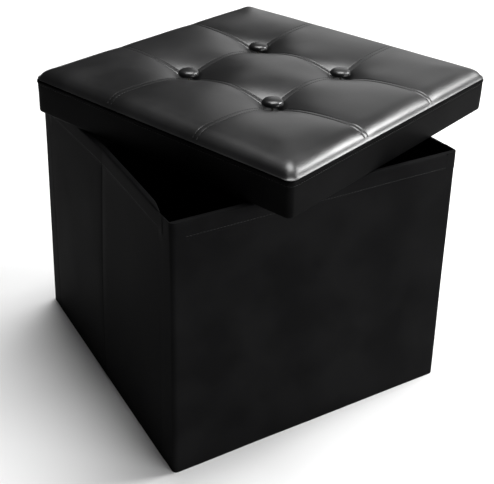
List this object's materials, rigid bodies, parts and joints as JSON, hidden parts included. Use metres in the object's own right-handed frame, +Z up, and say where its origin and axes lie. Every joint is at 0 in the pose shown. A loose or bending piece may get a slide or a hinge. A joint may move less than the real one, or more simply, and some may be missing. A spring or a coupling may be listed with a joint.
{
  "type": "storage ottoman",
  "caption": "Square black faux-leather storage ottoman whose box walls fold flat, with a button-tufted padded cap lid lying askew on the open rim.",
  "frame": {"origin": "on the floor, at the centre of the box's footprint", "axes": "+X to the box's right side wall, +Y to its rear wall, +Z up; the front wall faces -Y"},
  "size_m": [0.5102, 0.5102, 0.3763],
  "materials": {
    "wall_leather": "satin",
    "lid_leather": "satin",
    "lining_cloth": "matte",
    "felt": "matte",
    "foam": "matte",
    "hardboard": "matte",
    "steel": "satin",
    "twine": "matte"
  },
  "bodies": {
    "root": {"base_board": "hardboard", "base_cloth": "lining_cloth", "base_felt": "felt", "rear_board": "hardboard", "rear_cover": "wall_leather", "rear_hem": "wall_leather", "rear_left_corner": "wall_leather", "rear_lining": "lining_cloth", "rear_right_corner": "wall_leather", "rear_rim_band": "wall_leather"},
    "left_rear_half": {"left_rear_board": "hardboard", "left_rear_cover": "wall_leather", "left_rear_hem": "wall_leather", "left_rear_lining": "lining_cloth", "left_rear_rim_band": "wall_leather"},
    "left_front_half": {"left_front_board": "hardboard", "left_front_cover": "wall_leather", "left_front_hem": "wall_leather", "left_front_lining": "lining_cloth", "left_front_rim_band": "wall_leather"},
    "right_rear_half": {"right_rear_board": "hardboard", "right_rear_cover": "wall_leather", "right_rear_hem": "wall_leather", "right_rear_lining": "lining_cloth", "right_rear_rim_band": "wall_leather"},
    "right_front_half": {"right_front_board": "hardboard", "right_front_cover": "wall_leather", "right_front_hem": "wall_leather", "right_front_lining": "lining_cloth", "right_front_rim_band": "wall_leather"},
    "front_wall": {"front_board": "hardboard", "front_cover": "wall_leather", "front_hem": "wall_leather", "front_left_corner": "wall_leather", "front_lining": "lining_cloth", "front_right_corner": "wall_leather", "front_rim_band": "wall_leather"},
    "lid": {"button_backs": "steel", "button_ties": "twine", "button_washers": "steel", "lid_board": "hardboard", "lid_foam": "foam", "lid_lining": "lining_cloth", "lid_side_lining": "lining_cloth", "lid_skirt_board_front": "hardboard", "lid_skirt_board_left": "hardboard", "lid_skirt_board_rear": "hardboard", "lid_skirt_board_right": "hardboard", "lid_skirt_cover": "lid_leather", "lid_staples": "steel", "lid_top_cover": "lid_leather", "tie_knots": "twine", "tuft_buttons": "lid_leather"}
  },
  "joints": [
    {"name": "lid_lift", "type": "slide", "parent": "root", "child": "lid", "axis": [0, 0, 1], "range_m": [0, 0.3]},
    {"name": "wall_fold", "type": "hinge", "parent": "root", "child": "left_rear_half", "pos_m": [-0.19, 0.168, 0], "axis": [0, 0, -1], "range_deg": [-90, 0], "deforming": ["left_rear_hem"]},
    {"name": "left_middle_fold", "type": "hinge", "parent": "left_rear_half", "child": "left_front_half", "pos_m": [-0.1905, 0, 0], "axis": [0, 0, 1], "range_deg": [-180, 0], "deforming": ["left_front_hem"]},
    {"name": "left_front_fold", "type": "hinge", "parent": "left_front_half", "child": "front_wall", "pos_m": [-0.19, -0.168, 0], "axis": [0, 0, -1], "range_deg": [-90, 0], "deforming": ["front_hem"]},
    {"name": "right_rear_fold", "type": "hinge", "parent": "root", "child": "right_rear_half", "pos_m": [0.19, 0.168, 0], "axis": [0, 0, 1], "range_deg": [-90, 0], "deforming": ["right_rear_hem"]},
    {"name": "right_middle_fold", "type": "hinge", "parent": "right_rear_half", "child": "right_front_half", "pos_m": [0.1905, 0, 0], "axis": [0, 0, -1], "range_deg": [-180, 0], "deforming": ["right_front_hem"]}
  ],
  "couplings": [
    {"joint": "left_middle_fold", "follows": "wall_fold", "ratio": 2},
    {"joint": "left_front_fold", "follows": "wall_fold", "ratio": 1},
    {"joint": "right_rear_fold", "follows": "wall_fold", "ratio": 1},
    {"joint": "right_middle_fold", "follows": "wall_fold", "ratio": 2}
  ]
}
